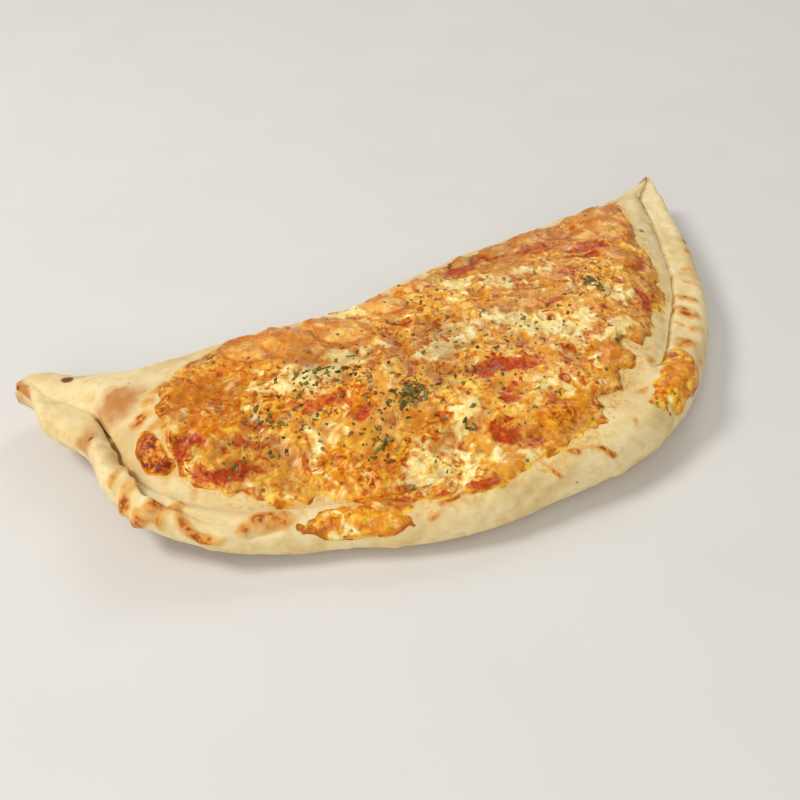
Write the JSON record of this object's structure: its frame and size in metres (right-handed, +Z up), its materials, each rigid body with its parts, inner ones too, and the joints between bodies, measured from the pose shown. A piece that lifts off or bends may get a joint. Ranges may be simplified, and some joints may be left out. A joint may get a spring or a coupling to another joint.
{
  "type": "calzone",
  "caption": "Baked folded calzone with a rolled and pinched rim, upturned pointed horns, and melted cheese and tomato sauce over the top.",
  "frame": {"origin": "on the resting plane, under the middle of the object's box", "axes": "+X along the fold from the left horn to the right horn, -Y towards the curved rim, +Z up"},
  "size_m": [0.3264, 0.159, 0.0339],
  "materials": {
    "baked_dough": null,
    "melted_cheese": null,
    "dried_herbs": null
  },
  "bodies": {
    "root": {"dough": "baked_dough", "cheese_and_sauce": "melted_cheese", "cheese_patch_left": "melted_cheese", "cheese_patch_front": "melted_cheese", "cheese_patch_right": "melted_cheese"}
  },
  "joints": []
}
